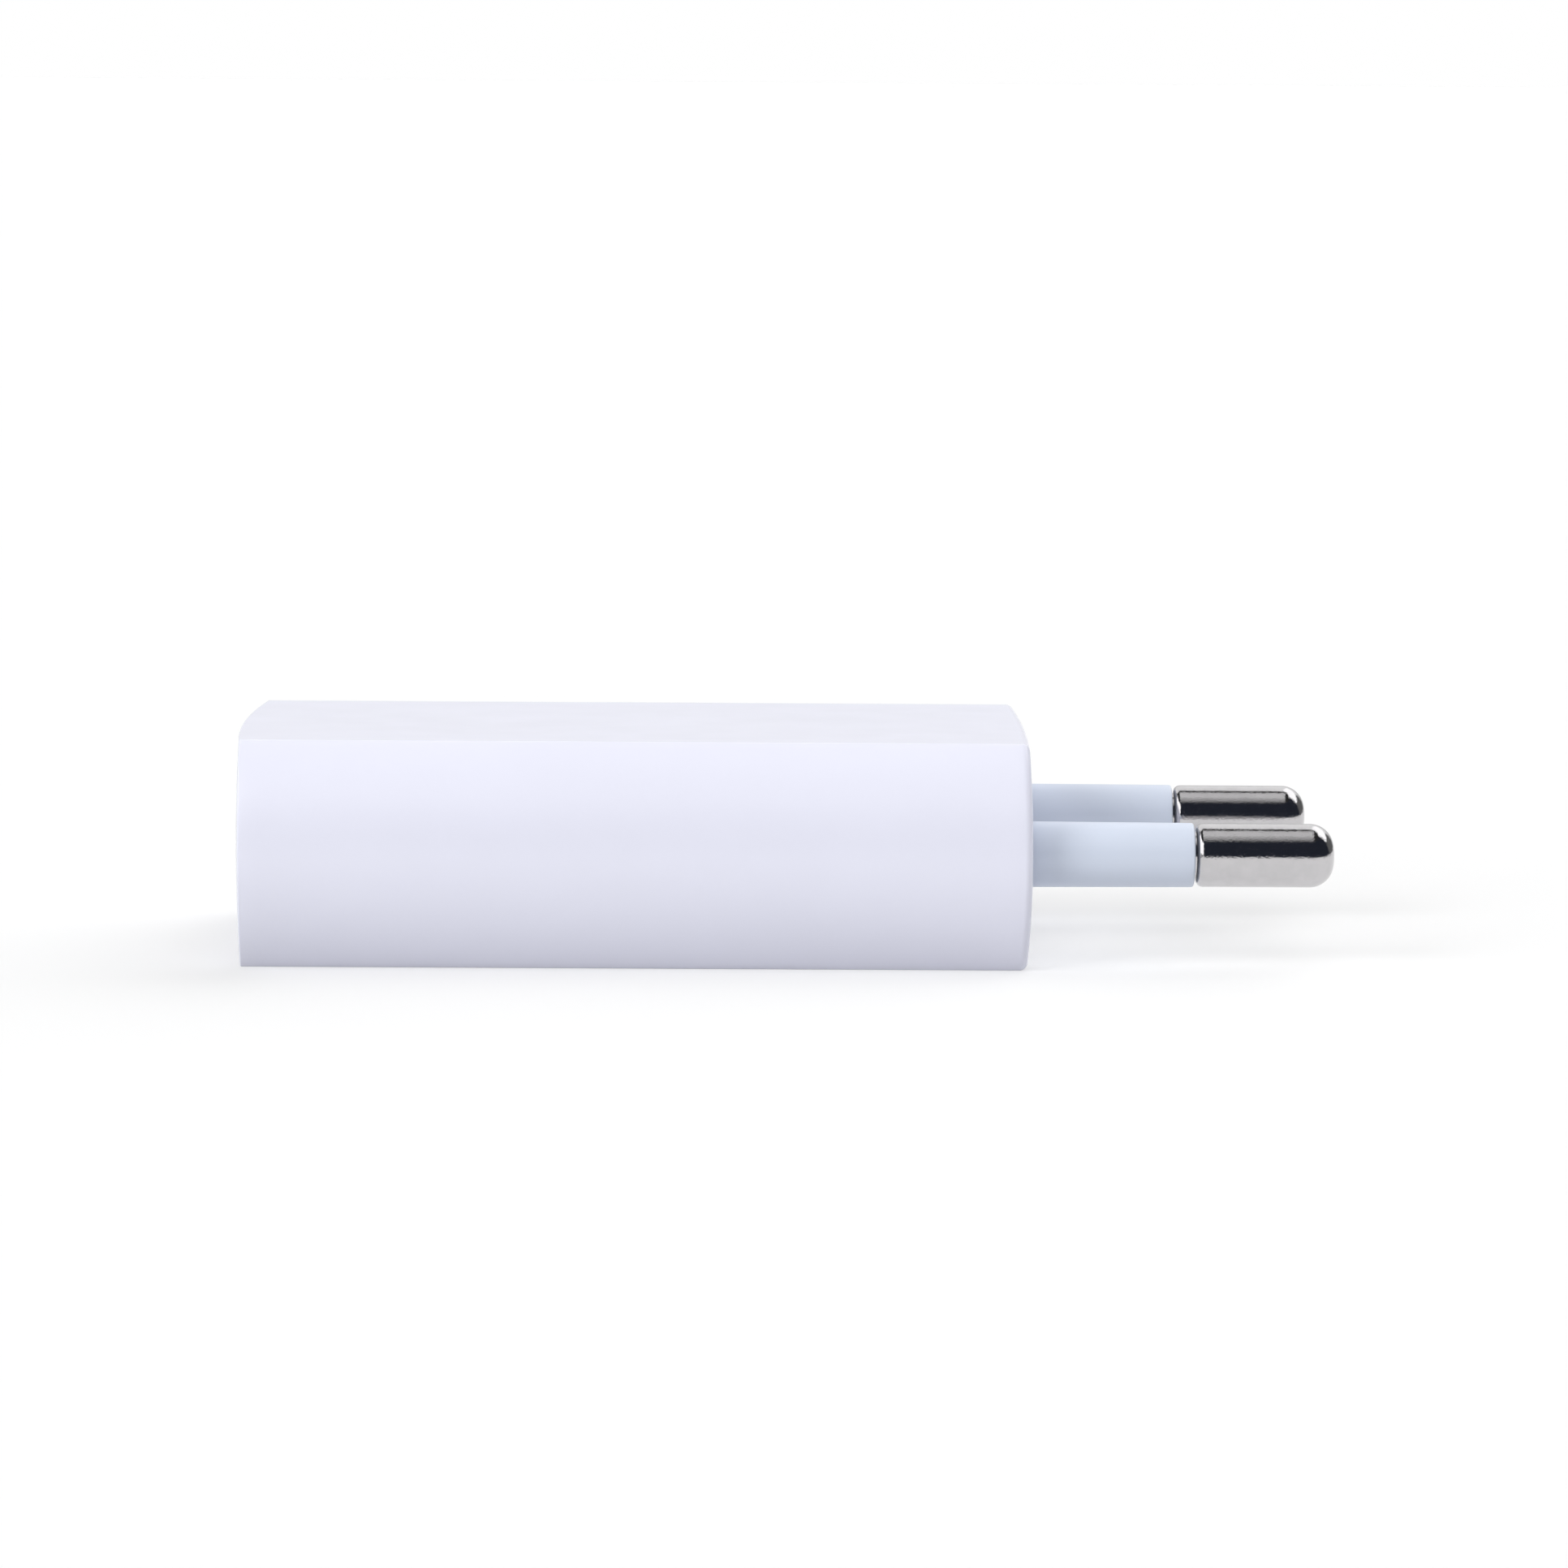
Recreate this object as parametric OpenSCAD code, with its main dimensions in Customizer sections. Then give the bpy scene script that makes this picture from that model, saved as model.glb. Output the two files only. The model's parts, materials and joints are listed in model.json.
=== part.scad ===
// Slim two-pin wall charger with one type-A power socket.
//
// The origin is midway between the two plug pins, on the crown of the plug face.
// +X runs along the pins, away from the body. +Z is up, square to the wide flat faces.

/* [Housing] */
// Length of the body from socket face to plug face, along X
body_l = 50.5; // [50:0.1:51.5]
// Width of the body at mid height, along Y
body_w = 28.4; // [28:0.1:29]
// Thickness of the body between its two flat faces, along Z
body_t = 14.3; // [14.2:0.1:15]
// Width of each flat face, where the curved sides begin
flat_w = 22.2; // [21.6:0.1:22.6]
// Wall thickness of the housing
wall = 1.6; // [1.4:0.1:1.7]
// Wall thickness of the rim that surrounds the plug cap
rim = 1.1; // [0.9:0.1:1.2]
// Radius of the dome that forms the socket face
socket_crown_r = 115; // [90:5:140]
// Radius of the plug face's curve from top to bottom
plug_crown_r = 96; // [60:2:120]
// Radius of the plug face's curve from side to side
plug_sweep_r = 340; // [300:10:500]

/* [Pins] */
// Distance between the two pin axes
pin_pitch = 19; // [18.4:0.1:19.2]
// Diameter of the bare contact part of a pin
pin_d = 4; // [3.9:0.02:4.06]
// Reach of a pin beyond the plug face
pin_l = 18.8; // [18.5:0.1:19.5]
// Reach of the insulating sleeve beyond the plug face
sleeve_l = 10; // [9.8:0.1:10.8]
// Outer diameter of the insulating sleeve at its root
sleeve_root_d = 4.14; // [4.06:0.02:4.2]
// Outer diameter of the insulating sleeve at its free end
sleeve_end_d = 4.04; // [3.9:0.02:4.06]
// Radius that rounds the tip of a pin
tip_round = 1.5; // [1:0.1:1.8]

/* [Socket] */
// Inside width of the socket shell
socket_w = 12.5; // [12.4:0.05:12.6]
// Inside height of the socket shell
socket_h = 5.12; // [5.02:0.05:5.22]
// Thickness of the shell's sheet metal
sheet_t = 0.3; // [0.25:0.05:0.3]
// Width of the contact tongue
tongue_w = 11.1; // [11:0.05:11.2]
// Thickness of the contact tongue
tongue_t = 1.84; // [1.79:0.01:1.89]

/* [Circuit board] */
// Width of the circuit board
board_w = 22.8; // [22:0.1:22.8]
// Thickness of the circuit board
board_t = 0.8; // [0.8:0.1:0.9]

/* [Hidden] */
$fn = 64;
eps = 0.01;

// Body outline: two side arcs cut off by the flat faces.
bulge = (body_w - flat_w) / 2;
side_r = (pow(body_t / 2, 2) + pow(bulge, 2)) / (2 * bulge);
side_c = body_w / 2 - side_r;
plug_seat_x = -3;
cap_gap = 0.08;
skirt_end_x = -4.9;
board_end_x = -5.2;
rail_hold = 0.5;
rail_h = 0.8;
rail_gap = 0.05;

// Pins, from the tip inwards.
sides = [-1, 1];
pin_y = pin_pitch / 2;
pin_r = pin_d / 2;
fit_gap = 0.02;
pin_core_r = 1.45;
heel_gap = 0.13;
heel_round = 0.45;
sleeve_root_x = -2.4;
boss_r = 2.8;
boss_end_x = -5;
collar_r = 1.75;
collar_t = 0.8;
strip_t = 0.5;
rivet_r = 0.9;
rivet_head_r = 1.4;
rivet_head_t = 0.5;

// Socket: the shell's mouth sits just inside the housing's face.
mouth_x = -body_l + 0.7;
shell_l = 14;
shell_end_x = mouth_x + shell_l;
shell_w = socket_w + 2 * sheet_t;
shell_h = socket_h + 2 * sheet_t;
window_gap = 0.12;
block_front_x = mouth_x + 11.8;
tongue_tip_x = mouth_x + 3.4;
tongue_top = socket_h / 2 - 0.66;
tongue_low = tongue_top - tongue_t;
contact_t = 0.2;
contact_w = 1;
contact_z = tongue_low + 0.5;
contact_r = contact_t / 2;
contact_ys = [-3.5, -1, 1, 3.5];
leg_xs = [mouth_x + 4.2, mouth_x + 11];
leg_l = 1.2;
spring_y = 3.2;
spring_w = 1.8;
spring_x = [mouth_x + 2.6, mouth_x + 9.2];
tail_x = shell_end_x + 0.3;

// Board and the parts on it.
board_top = -shell_h / 2;
board_low = board_top - board_t;
board_front_x = mouth_x + 1.5;
lead_r = 0.3;
lead_gap = 0.05;
lead_end_z = board_low - 0.9;
solder_h = 0.75;
floor_z = -body_t / 2 + wall;

bulk_r = 4;
bulk_x = [-18, -7.3];
bulk_h = bulk_x[1] - bulk_x[0];
bulk_y = 4.25;
bulk_z = board_top + bulk_r + 0.05;
bulk_lead_x = -6.35;
bulk_lead_pitch = 2.5;
output_r = 2.6;
output_h = 7.4;
output_x = -32.2;
output_y = 7.9;
output_lead_pitch = 2;
film_t = 0.15;
seal_t = 1.2;

core_x = -23.9;
core_l = 11;
core_w = 10.2;
core_t = 4.7;
core_z = board_top + 4.1;
core_leg_t = 2.4;
core_side_t = 1.25;
core_back_t = 1.4;
wound_w = 7.6;
wound_h = 7.7;
bobbin_wall = 0.5;
bobbin_flange_t = 0.7;
bobbin_l = core_l - 2 * core_back_t - 0.1;
foot_h = 1.4;
coil_pin_xs = [core_x - 4.6, core_x + 4.6];
coil_pin_ys = [-3.75, -1.25, 1.25, 3.75];

resistor_y = 10;
resistor_z = board_top + 1.5;
axial_x = -13;
axial_l = 7;
axial_lead_span = 9.6;

disc_y = -8.4;
disc_r = 3.4;
disc_t = 3.2;
disc_z = board_top + 0.5 + disc_r;
disc_lead_span = 5;

opto_x = core_x;
opto_y = 8.4;
opto_size = [6.5, 4.6, 3.4];
opto_row_span = 7.6;
opto_leg_pitch = 2.54;

// Where round leads go through the board, as [x, y].
bulk_leads = [for (s = sides) for (k = sides) [bulk_lead_x, s * bulk_y + k * bulk_lead_pitch / 2]];
output_leads = [for (s = sides) for (k = sides) [output_x, s * output_y + k * output_lead_pitch / 2]];
coil_leads = [for (x = coil_pin_xs) for (y = coil_pin_ys) [x, y]];
axial_leads = [for (s = sides) for (k = sides) [axial_x + k * axial_lead_span / 2, s * resistor_y]];
disc_leads = [for (k = sides) [core_x + k * disc_lead_span / 2, disc_y]];
opto_leads = [
  for (s = sides) for (k = sides) [opto_x + s * opto_row_span / 2, opto_y + k * opto_leg_pitch / 2]
];
tail_leads = [for (y = contact_ys) [tail_x, y]];
round_leads = concat(
  bulk_leads, output_leads, coil_leads, axial_leads, disc_leads, opto_leads, tail_leads
);

// Chips under the board, as [x, y, turned a quarter].
resistor_spots = [
  [-28.6, -7, 0], [-28.6, -9, 0], [-20.5, 5.5, 1], [-18.5, 5.5, 1],
  [-10.5, -7.5, 0], [-13.5, -7.5, 0], [-38, -8.5, 1], [-40, -8.5, 1]
];
chip_capacitor_spots = [
  [-16.5, -7.5, 0], [-22.5, 5.5, 1], [-38, 8.5, 1], [-40, 8.5, 1], [-31, 4.5, 0]
];
chip_size = [1.6, 0.8, 0.5];
cap_chip_size = [1.6, 0.8, 0.75];
chip_end = 0.3;
package_gap = 0.1;
leg_t = 0.2;

function half_width(z, inset) = side_c + sqrt(pow(side_r - inset, 2) - z * z);

// ---------- Shared shapes ----------

// A prism along X from x0 to x1, whose outline is drawn in Y and Z.
module along_x(x0, x1) {
  translate([x0, 0, 0]) rotate([90, 0, 90]) linear_extrude(x1 - x0) children();
}

// A prism centred on y, whose outline is drawn in X and Z.
module along_y(y, w) {
  translate([0, y + w / 2, 0]) rotate([90, 0, 0]) linear_extrude(w) children();
}

module rod_x(x0, x1, r) {
  translate([x0, 0, 0]) rotate([0, 90, 0]) cylinder(h = x1 - x0, r = r);
}

module box(x, y, z) {
  translate([x[0], y[0], z[0]]) cube([x[1] - x[0], y[1] - y[0], z[1] - z[0]]);
}

module rounded_rect(w, h, r) {
  square([w - 2 * r, h], center = true);
  square([w, h - 2 * r], center = true);
  for (y = sides) for (z = sides) translate([y * (w / 2 - r), z * (h / 2 - r)]) circle(r);
}

// The body's cross-section, shrunk by inset all round.
module body_section(inset) {
  intersection() {
    square([body_w, body_t - 2 * inset], center = true);
    union() {
      for (s = sides) translate([s * side_c, 0]) circle(side_r - inset, $fn = 200);
    }
  }
}

// Everything inside the domed socket face.
module socket_dome() {
  translate([socket_crown_r - body_l, 0, 0]) sphere(socket_crown_r, $fn = 200);
}

// Everything inside the plug face, which curves both ways.
module plug_dome() {
  translate([-plug_sweep_r, 0, 0]) rotate_extrude($fn = 720)
    translate([plug_sweep_r - plug_crown_r, 0]) circle(plug_crown_r, $fn = 360);
}

// ---------- Housing ----------

// Rails along both side walls: one under each board edge, and a short one over it beside the socket.
module board_rails() {
  upper_x = [board_front_x, shell_end_x];
  lower_x = [board_front_x, board_end_x];
  upper_z = [board_top + rail_gap, board_top + rail_gap + rail_h];
  lower_z = [board_low - rail_gap - rail_h, board_low - rail_gap];
  rail_y = board_w / 2 - rail_hold;
  for (s = sides) mirror([0, s < 0 ? 1 : 0, 0]) {
    box(upper_x, [rail_y, half_width(upper_z[0], wall) + wall / 4], upper_z);
    box(lower_x, [rail_y, half_width(lower_z[0], wall) + wall / 4], lower_z);
  }
}

module main_housing() {
  color("white") {
    difference() {
      intersection() {
        along_x(-body_l - 1, 1) body_section(0);
        socket_dome();
        plug_dome();
      }
      along_x(-body_l + wall, 2) body_section(wall);
      along_x(plug_seat_x, 2) body_section(rim);
      along_x(-body_l - 2, -body_l + 2 * wall)
        rounded_rect(shell_w + 2 * window_gap, shell_h + 2 * window_gap, 0.9);
    }
    board_rails();
  }
}

module plug_cap() {
  color("white") difference() {
    union() {
      intersection() {
        along_x(plug_seat_x, 1) body_section(rim + cap_gap);
        plug_dome();
      }
      difference() {
        along_x(skirt_end_x, plug_seat_x + eps) body_section(wall + cap_gap);
        along_x(skirt_end_x - 1, plug_seat_x) body_section(wall + 1);
      }
      for (s = sides) translate([0, s * pin_y, 0]) rod_x(boss_end_x, plug_seat_x + eps, boss_r);
    }
    for (s = sides) translate([0, s * pin_y, 0]) {
      rod_x(sleeve_root_x, 1, sleeve_root_d / 2 + fit_gap);
      rod_x(boss_end_x - 1, 1, pin_core_r + fit_gap);
    }
  }
}

// ---------- Pins ----------

// Half the pin's outline, with the axis up: core, rounded heel, contact and rounded tip.
module pin_outline() {
  heel_x = sleeve_l + heel_gap;
  translate([0, boss_end_x - collar_t]) square([collar_r, collar_t]);
  translate([0, boss_end_x - eps]) square([pin_core_r, heel_x - boss_end_x + 2 * eps]);
  translate([0, heel_x + heel_round]) square([pin_r, pin_l - heel_x - heel_round - tip_round]);
  translate([0, heel_x]) square([pin_r - heel_round, 1]);
  translate([pin_r - heel_round, heel_x + heel_round]) circle(heel_round);
  translate([0, pin_l - tip_round - 1]) square([pin_r - tip_round, tip_round + 1]);
  intersection() {
    translate([pin_r - tip_round, pin_l - tip_round]) circle(tip_round);
    translate([0, pin_l - 2 * tip_round]) square([pin_r, 2 * tip_round]);
  }
}

// Pin, with a riveted tail that holds its terminal strip.
module plug_pin(side) {
  tail_x0 = boss_end_x - collar_t - strip_t;
  color("gainsboro") translate([0, side * pin_y, 0]) {
    rotate([0, 90, 0]) rotate_extrude() intersection() {
      pin_outline();
      translate([0, -50]) square([10, 100]);
    }
    rod_x(tail_x0 - eps, boss_end_x - collar_t + eps, rivet_r);
    rod_x(tail_x0 - rivet_head_t, tail_x0, rivet_head_r);
  }
}

// Tapered sleeve over the pin's core, with a small chamfer at its free end.
module pin_sleeve(side) {
  end_chamfer = 0.15;
  taper_l = sleeve_l - end_chamfer - sleeve_root_x;
  end_r = sleeve_end_d / 2;
  color("lightsteelblue") translate([sleeve_root_x, side * pin_y, 0]) rotate([0, 90, 0]) difference() {
    union() {
      cylinder(h = taper_l, r1 = sleeve_root_d / 2, r2 = end_r);
      translate([0, 0, taper_l]) cylinder(h = end_chamfer, r1 = end_r, r2 = end_r - end_chamfer);
    }
    translate([0, 0, -1]) cylinder(h = taper_l + 2, r = pin_core_r + fit_gap);
  }
}

// Brass strip: an upright plate behind the pin and a tab that goes through the board.
module pin_terminal(side) {
  plate_w = 4;
  plate_z = [-1.9, 2.2];
  tab_w = 2.4;
  x = [boss_end_x - collar_t - strip_t, boss_end_x - collar_t];
  color("goldenrod") translate([0, side * pin_y, 0]) difference() {
    union() {
      box(x, [-plate_w / 2, plate_w / 2], plate_z);
      box(x, [-tab_w / 2, tab_w / 2], [lead_end_z, plate_z[0] + 0.1]);
    }
    rod_x(x[0] - 1, x[1] + 1, rivet_r + fit_gap);
  }
}

// ---------- Circuit board ----------

module circuit_board() {
  slot_w = 1;
  tab_hole = [strip_t + 0.1, 2.5];
  color("seagreen") difference() {
    box([board_front_x, board_end_x], [-board_w / 2, board_w / 2], [board_low, board_top]);
    for (p = round_leads) translate([p[0], p[1], board_low - 1])
      cylinder(h = 3, r = lead_r + lead_gap, $fn = 24);
    for (s = sides) {
      translate([boss_end_x - collar_t - strip_t / 2, s * pin_y, board_low])
        cube([tab_hole[0], tab_hole[1], 4], center = true);
      for (x = leg_xs) translate([x, s * (shell_w - sheet_t) / 2, board_low])
        cube([leg_l + 0.3, sheet_t + 0.3, 4], center = true);
      // Isolation slots between the mains side and the low-voltage side.
      translate([core_x, s * 6.1, board_low]) cube([slot_w, 1.6, 4], center = true);
    }
    translate([core_x, 0, board_low]) cube([slot_w, 8.5, 4], center = true);
  }
}

// A cone of solder round each lead, under the board.
module solder_joints() {
  color("silver") for (p = round_leads) translate([p[0], p[1], board_low - solder_h]) difference() {
    cylinder(h = solder_h, r1 = lead_r + 0.1, r2 = lead_r + 0.42, $fn = 24);
    translate([0, 0, -1]) cylinder(h = 3, r = lead_r, $fn = 24);
  }
}

// Fibre sheet that lines the floor under the soldered side.
module insulation_sheet() {
  paper_x = [-45.5, -6];
  paper_w = 19.2;
  paper_t = 0.2;
  paper_z = floor_z + 0.03;
  color("ivory") box(paper_x, [-paper_w / 2, paper_w / 2], [paper_z, paper_z + paper_t]);
}

// ---------- Socket ----------

// A spring finger cut from the shell's wall, bowed into the socket.
module shell_spring(z_side) {
  x0 = spring_x[0];
  x1 = x0 + 4.9;
  x2 = x0 + 6;
  top = socket_h / 2;
  dip = 0.45;
  lift = 0.25;
  mirror([0, 0, z_side < 0 ? 1 : 0])
    for (s = sides) along_y(s * spring_y, spring_w) polygon([
      [x0, top], [x1, top - dip], [x2, top - dip + lift],
      [x2, top - dip + lift + sheet_t], [x1, top - dip + sheet_t], [x0, top + sheet_t]
    ]);
}

module usb_shell() {
  slot_w = spring_w + 0.6;
  flap_w = 10.8;
  color("silver") {
    difference() {
      along_x(mouth_x, shell_end_x) rounded_rect(shell_w, shell_h, 0.8);
      along_x(mouth_x - 1, shell_end_x + 1) rounded_rect(socket_w, socket_h, 0.5);
      for (z = sides) for (s = sides)
        translate([(spring_x[0] + spring_x[1]) / 2, s * spring_y, z * shell_h / 2])
          cube([spring_x[1] - spring_x[0], slot_w, 2], center = true);
    }
    for (z = sides) shell_spring(z);
    // Rear flap, folded down from the top wall over the insulator.
    box([shell_end_x - sheet_t, shell_end_x], [-flap_w / 2, flap_w / 2], [1.2, socket_h / 2 + eps]);
    for (x = leg_xs) for (s = sides)
      translate([x, s * (shell_w - sheet_t) / 2, (lead_end_z - 1) / 2])
        cube([leg_l, sheet_t, -lead_end_z - 1], center = true);
  }
}

module usb_insulator() {
  block = [block_front_x, shell_end_x - sheet_t - 0.02];
  tip = 0.45;
  side_gap = 0.04;
  groove_w = contact_w + 0.3;
  groove_top = tongue_low + 1.2;
  color("whitesmoke") difference() {
    union() {
      along_x(block[0], block[1])
        rounded_rect(socket_w - 2 * side_gap, socket_h - 2 * side_gap, 0.5);
      along_y(0, tongue_w) polygon([
        [block[0] + eps, tongue_low], [block[0] + eps, tongue_top],
        [tongue_tip_x + tip, tongue_top], [tongue_tip_x, tongue_top - tip],
        [tongue_tip_x, tongue_low + tip / 2], [tongue_tip_x + tip / 2, tongue_low]
      ]);
    }
    for (y = contact_ys) {
      box([tongue_tip_x + 0.4, block[0]], [y - groove_w / 2, y + groove_w / 2],
          [tongue_low - 1, groove_top]);
      box([block[0] - eps, block[1] + 1], [y - contact_w / 2 - 0.03, y + contact_w / 2 + 0.03],
          [contact_z - contact_r - 0.03, contact_z + contact_r + 0.03]);
    }
  }
}

// Fixed rear part of each contact: through the insulator, then down through the board.
module usb_contact_tails() {
  color("gold") for (y = contact_ys) {
    box([block_front_x + contact_r + eps, tail_x + contact_r], [y - contact_w / 2, y + contact_w / 2],
        [contact_z - contact_r, contact_z + contact_r]);
    box([tail_x - contact_r, tail_x + contact_r], [y - 0.22, y + 0.22], [lead_end_z, contact_z]);
  }
}

// Centre line of a contact arm in X and Z, from its root to its curled tip.
crest = [tongue_tip_x + 1.6, tongue_low - 0.4];
crest_r = 0.7;
arm_line = concat(
  [[block_front_x, contact_z]],
  [for (a = [8 : 16 : 72]) [crest[0] - crest_r * sin(a - 8), crest[1] + crest_r * (1 - cos(a - 8))]],
  [[crest[0] - crest_r - 0.1, crest[1] + crest_r]]
);

// Unit normal of a line of points at point i.
function line_normal(line, i) =
  let (a = line[max(i - 1, 0)], b = line[min(i + 1, len(line) - 1)], d = b - a)
  [-d[1], d[0]] / norm(d);
function ribbon(line, t) = concat(
  [for (i = [0 : len(line) - 1]) line[i] + line_normal(line, i) * t / 2],
  [for (i = [len(line) - 1 : -1 : 0]) line[i] - line_normal(line, i) * t / 2]
);

// Springy front part of one contact, which turns about its root.
module usb_contact(i) {
  y = contact_ys[i];
  color("gold") {
    along_y(y, contact_w) polygon(ribbon(arm_line, contact_t));
    along_y(y, contact_w) translate([block_front_x, contact_z]) circle(contact_r);
  }
}

// ---------- Electrolytic capacitors ----------

// Can with its open end at z = 0, a crimp groove above the seal and a scored vent on its closed end.
module capacitor_can(r, h) {
  can_r = r - film_t - 0.01;
  score = [can_r * 1.3, 0.25, 0.2];
  color("lightgray") difference() {
    cylinder(h = h, r = can_r);
    translate([0, 0, -1]) cylinder(h = seal_t + 1, r = can_r - 0.3);
    translate([0, 0, seal_t + 0.5]) rotate_extrude() translate([can_r + 0.1, 0]) circle(0.35);
    for (a = [0, 90]) translate([0, 0, h]) rotate([0, 0, a]) cube(score, center = true);
  }
}

module capacitor_sleeve(r, h) {
  color("darkslategray") difference() {
    translate([0, 0, 0.1]) cylinder(h = h, r = r);
    translate([0, 0, -1]) cylinder(h = h + 1.02, r = r - film_t);
    cylinder(h = 2 * h, r = r - 0.9);
  }
}

module capacitor_seal(r, lead_pitch) {
  color("dimgray") difference() {
    translate([0, 0, 0.1]) cylinder(h = seal_t - 0.12, r = r - film_t - 0.33);
    for (k = sides) translate([0, k * lead_pitch / 2, -1])
      cylinder(h = seal_t + 2, r = lead_r + fit_gap);
  }
}

module bulk_place(side) {
  translate([bulk_x[1], side * bulk_y, bulk_z]) rotate([0, -90, 0]) children();
}
module output_place(side) {
  translate([output_x, side * output_y, board_top + 0.15]) children();
}

module bulk_can(side) bulk_place(side) capacitor_can(bulk_r, bulk_h);
module bulk_sleeve(side) bulk_place(side) capacitor_sleeve(bulk_r, bulk_h);
module bulk_seal(side) bulk_place(side) capacitor_seal(bulk_r, bulk_lead_pitch);
module output_can(side) output_place(side) capacitor_can(output_r, output_h);
module output_sleeve(side) output_place(side) capacitor_sleeve(output_r, output_h);
module output_seal(side) output_place(side) capacitor_seal(output_r, output_lead_pitch);

module capacitor_leads() {
  color("silver") {
    for (p = bulk_leads) translate([0, p[1], 0]) {
      translate([0, 0, bulk_z]) rod_x(bulk_x[1] - seal_t + 0.12, bulk_lead_x, lead_r);
      translate([bulk_lead_x, 0, bulk_z]) sphere(lead_r);
      translate([bulk_lead_x, 0, lead_end_z]) cylinder(h = bulk_z - lead_end_z, r = lead_r);
    }
    for (p = output_leads) translate([p[0], p[1], lead_end_z])
      cylinder(h = board_top + seal_t - lead_end_z, r = lead_r);
  }
}

// ---------- Transformer ----------

// One E-shaped half of the ferrite core, from its back out to the joint at x = core_x.
module core_half(dir) {
  half = core_l / 2 - 0.02;
  color("dimgray") translate([core_x, 0, core_z]) mirror([dir < 0 ? 1 : 0, 0, 0]) {
    translate([half - core_back_t, -core_w / 2, -core_t / 2]) cube([core_back_t, core_w, core_t]);
    translate([0.02, -core_leg_t / 2, -core_t / 2]) cube([half - 0.1, core_leg_t, core_t]);
    for (s = sides) translate([0.02, s * (core_w - core_side_t) / 2 - core_side_t / 2, -core_t / 2])
      cube([half - 0.1, core_side_t, core_t]);
  }
}

module transformer_bobbin() {
  hole = [core_leg_t + 0.1, core_t + 0.1];
  tube = [hole[0] + 2 * bobbin_wall, hole[1] + 2 * bobbin_wall];
  foot_z = [board_top + 0.1, board_top + 0.1 + foot_h];
  color("black") difference() {
    union() {
      translate([core_x, 0, core_z]) {
        cube([bobbin_l, tube[0], tube[1]], center = true);
        for (s = sides) translate([s * (bobbin_l - bobbin_flange_t) / 2, 0, 0])
          cube([bobbin_flange_t, wound_w, wound_h + 0.2], center = true);
      }
      for (x = coil_pin_xs) box([x - 0.85, x + 0.85], [-4.8, 4.8], foot_z);
      // Webs that join the feet to the flanges.
      for (s = sides) translate([core_x + s * (bobbin_l / 2 - 0.1), 0, (foot_z[0] + foot_z[1]) / 2])
        cube([1, wound_w, foot_h], center = true);
    }
    translate([core_x, 0, core_z]) cube([core_l + 2, hole[0], hole[1]], center = true);
    for (p = coil_leads) translate([p[0], p[1], board_top - 1])
      cylinder(h = 2.2, r = lead_r + fit_gap, $fn = 24);
  }
}

// A tube of the wound space: a rounded outline of the outer size, less its children's outline.
module wound_ring(outer, outer_r) {
  l = bobbin_l - 2 * bobbin_flange_t - 0.04;
  translate([core_x, 0, core_z]) along_x(-l / 2, l / 2) difference() {
    rounded_rect(outer[0], outer[1], outer_r);
    children();
  }
}

module transformer_winding() {
  tube = 2 * bobbin_wall + 0.12;
  color("peru") wound_ring([wound_w - 0.7, wound_h - 0.4], 1.2)
    square([core_leg_t + tube, core_t + tube], center = true);
}

module transformer_tape() {
  color("gold") wound_ring([wound_w - 0.1, wound_h], 1.4)
    rounded_rect(wound_w - 0.68, wound_h - 0.38, 1.21);
}

module transformer_pins() {
  color("silver") for (p = coil_leads) translate([p[0], p[1], lead_end_z])
    cylinder(h = board_top + 1.15 - lead_end_z, r = lead_r, $fn = 24);
}

// ---------- Axial parts, Y capacitor and optocoupler ----------

module axial_lead_pair(side, part_l) {
  color("silver") for (k = sides) {
    x = axial_x + k * axial_lead_span / 2;
    inner = axial_x + k * part_l / 2;
    translate([0, side * resistor_y, resistor_z]) rod_x(min(x, inner), max(x, inner), lead_r);
    translate([x, side * resistor_y, resistor_z]) sphere(lead_r);
    translate([x, side * resistor_y, lead_end_z]) cylinder(h = resistor_z - lead_end_z, r = lead_r);
  }
}

// Ceramic resistor body with a thicker cap at each end.
module fusible_resistor() {
  color("cadetblue") translate([axial_x, resistor_y, resistor_z]) {
    rod_x(-axial_l / 2, axial_l / 2, 1.2);
    for (k = sides) translate([k * (axial_l / 2 - 0.8), 0, 0]) rod_x(-0.8, 0.8, 1.4);
  }
}

// Drum core: two flanges and a thin waist.
module filter_choke_core() {
  color("dimgray") translate([axial_x, -resistor_y, resistor_z]) {
    rod_x(-axial_l / 2, axial_l / 2, 0.8);
    for (k = sides) translate([k * (axial_l / 2 - 0.45), 0, 0]) rod_x(-0.45, 0.45, 1.4);
  }
}

module filter_choke_winding() {
  turns = 12;
  wire_pitch = (axial_l - 1.9) / turns;
  color("peru") translate([axial_x - (axial_l - 1.9) / 2, -resistor_y, resistor_z]) difference() {
    union() {
      rod_x(0, axial_l - 1.9, 1.2);
      for (i = [0 : turns - 1]) rod_x((i + 0.15) * wire_pitch, (i + 0.85) * wire_pitch, 1.3);
    }
    rod_x(-1, axial_l, 0.8 + fit_gap);
  }
}

module y_capacitor() {
  color("dodgerblue") translate([core_x, disc_y + disc_t / 2, disc_z]) rotate([90, 0, 0]) {
    rotate_extrude() {
      square([disc_r - disc_t / 2, disc_t]);
      intersection() {
        translate([disc_r - disc_t / 2, disc_t / 2]) circle(disc_t / 2);
        square([disc_r, disc_t]);
      }
    }
  }
}

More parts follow.
